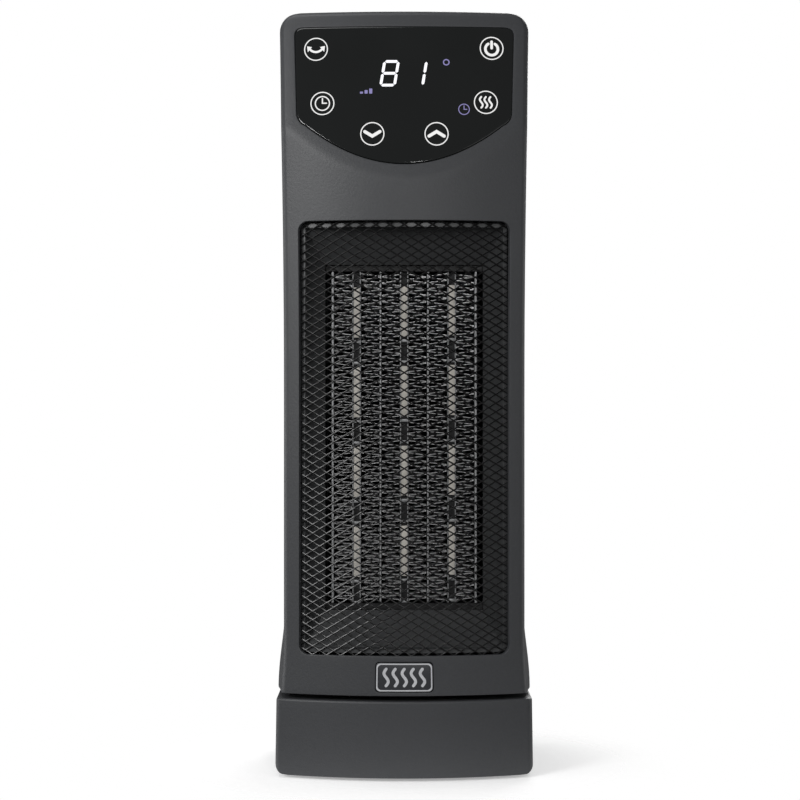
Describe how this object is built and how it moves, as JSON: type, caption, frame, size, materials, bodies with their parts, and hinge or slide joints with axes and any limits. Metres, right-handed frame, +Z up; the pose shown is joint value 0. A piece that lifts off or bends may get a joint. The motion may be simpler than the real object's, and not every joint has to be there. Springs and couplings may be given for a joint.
{
  "type": "ceramic space heater",
  "caption": "Digital oscillating ceramic tower heater: leaning touch panel head, mesh outlet over a finned ceramic core, rear intake with filter, low turning base.",
  "frame": {"origin": "middle of the footprint, on the floor under the feet", "axes": "+Z up, the front with the panel and grille faces -Y, +X to the right as seen from the front"},
  "size_m": [0.1344, 0.127, 0.4],
  "materials": {
    "charcoal_plastic": "satin moulded plastic, fine spark texture",
    "black_plastic": "matt black moulded plastic",
    "panel_gloss": "polished black lens with printed touch symbols",
    "rubber": "soft matt rubber",
    "aluminium": "plain mill finish",
    "steel": "zinc plated",
    "badge_metal": "satin badge plate",
    "grille_steel": "black painted expanded metal",
    "ptc_ceramic": "unglazed pale ceramic stones",
    "board": "green solder resist",
    "white_plastic": "natural acetal",
    "brass": "sintered bush and contact metal"
  },
  "bodies": {
    "base": {"base_shell": "charcoal_plastic", "base_plate": "black_plastic", "foot_front_left": "rubber", "foot_front_right": "rubber", "foot_rear_left": "rubber", "foot_rear_right": "rubber", "base_screw_1": "steel", "base_screw_2": "steel", "base_screw_3": "steel", "base_screw_4": "steel", "oscillation_motor": "steel", "thrust_ring": "white_plastic", "tip_spring": "steel", "tip_switch": "black_plastic", "cord_gland": "rubber"},
    "pinion": {"drive_pinion": "white_plastic"},
    "plunger": {"tip_plunger": "white_plastic"},
    "fan": {"blower_wheel": "black_plastic"},
    "rocker": {"power_rocker": "black_plastic"},
    "cover": {"intake_cover": "charcoal_plastic", "filter_mesh": "black_plastic"},
    "housing": {"front_shell": "charcoal_plastic", "rear_shell": "charcoal_plastic", "turntable": "black_plastic", "outlet_duct": "black_plastic", "heater_bracket_bottom": "black_plastic", "heater_bracket_top": "black_plastic", "fan_scroll": "black_plastic", "relay": "black_plastic", "led_display": "black_plastic", "power_switch_case": "black_plastic", "control_panel": "panel_gloss", "heater_plate_1": "aluminium", "heater_plate_2": "aluminium", "heater_plate_3": "aluminium", "heater_plate_4": "aluminium", "heater_fin_1": "aluminium", "heater_fin_2": "aluminium", "heater_fin_3": "aluminium", "heater_fin_4": "aluminium", "heater_fin_5": "aluminium", "heater_fin_6": "aluminium", "fan_motor": "steel", "hub_retainer": "steel", "shell_screw_1": "steel", "shell_screw_2": "steel", "shell_screw_3": "steel", "shell_screw_4": "steel", "badge": "badge_metal", "front_grille": "grille_steel", "ptc_strip_1": "ptc_ceramic", "ptc_strip_2": "ptc_ceramic", "ptc_strip_3": "ptc_ceramic", "display_board": "board", "power_board": "board", "oscillation_gear": "white_plastic", "fan_bearing": "brass", "thermal_cutout": "brass"}
  },
  "joints": [
    {"name": "oscillate", "type": "hinge", "parent": "base", "child": "housing", "pos_m": [0, 0, 0.0436], "axis": [0, 0, 1], "range_deg": [-35, 35]},
    {"name": "pinion_spin", "type": "hinge", "parent": "base", "child": "pinion", "pos_m": [0.02863, 0, 0.033], "axis": [0, 0, 1], "range_deg": [-100, 100]},
    {"name": "blower_spin", "type": "hinge", "parent": "housing", "child": "fan", "pos_m": [0, 0.019, 0.18], "axis": [0, 0, 1], "continuous": true},
    {"name": "rocker_switch", "type": "hinge", "parent": "housing", "child": "rocker", "pos_m": [0.032, 0.058, 0.0606], "axis": [1, 0, 0], "range_deg": [-10, 0]},
    {"name": "tip_plunger_slide", "type": "slide", "parent": "base", "child": "plunger", "axis": [0, 0, 1], "range_m": [-0.004, 0.0005], "stiffness_N_per_m": 100, "springref_m": -0.006, "deforming": ["tip_spring"]},
    {"name": "cover_slide", "type": "slide", "parent": "housing", "child": "cover", "axis": [0, 1, 0], "range_m": [0, 0.06]}
  ],
  "couplings": [
    {"joint": "pinion_spin", "follows": "oscillate", "ratio": -2.8}
  ]
}
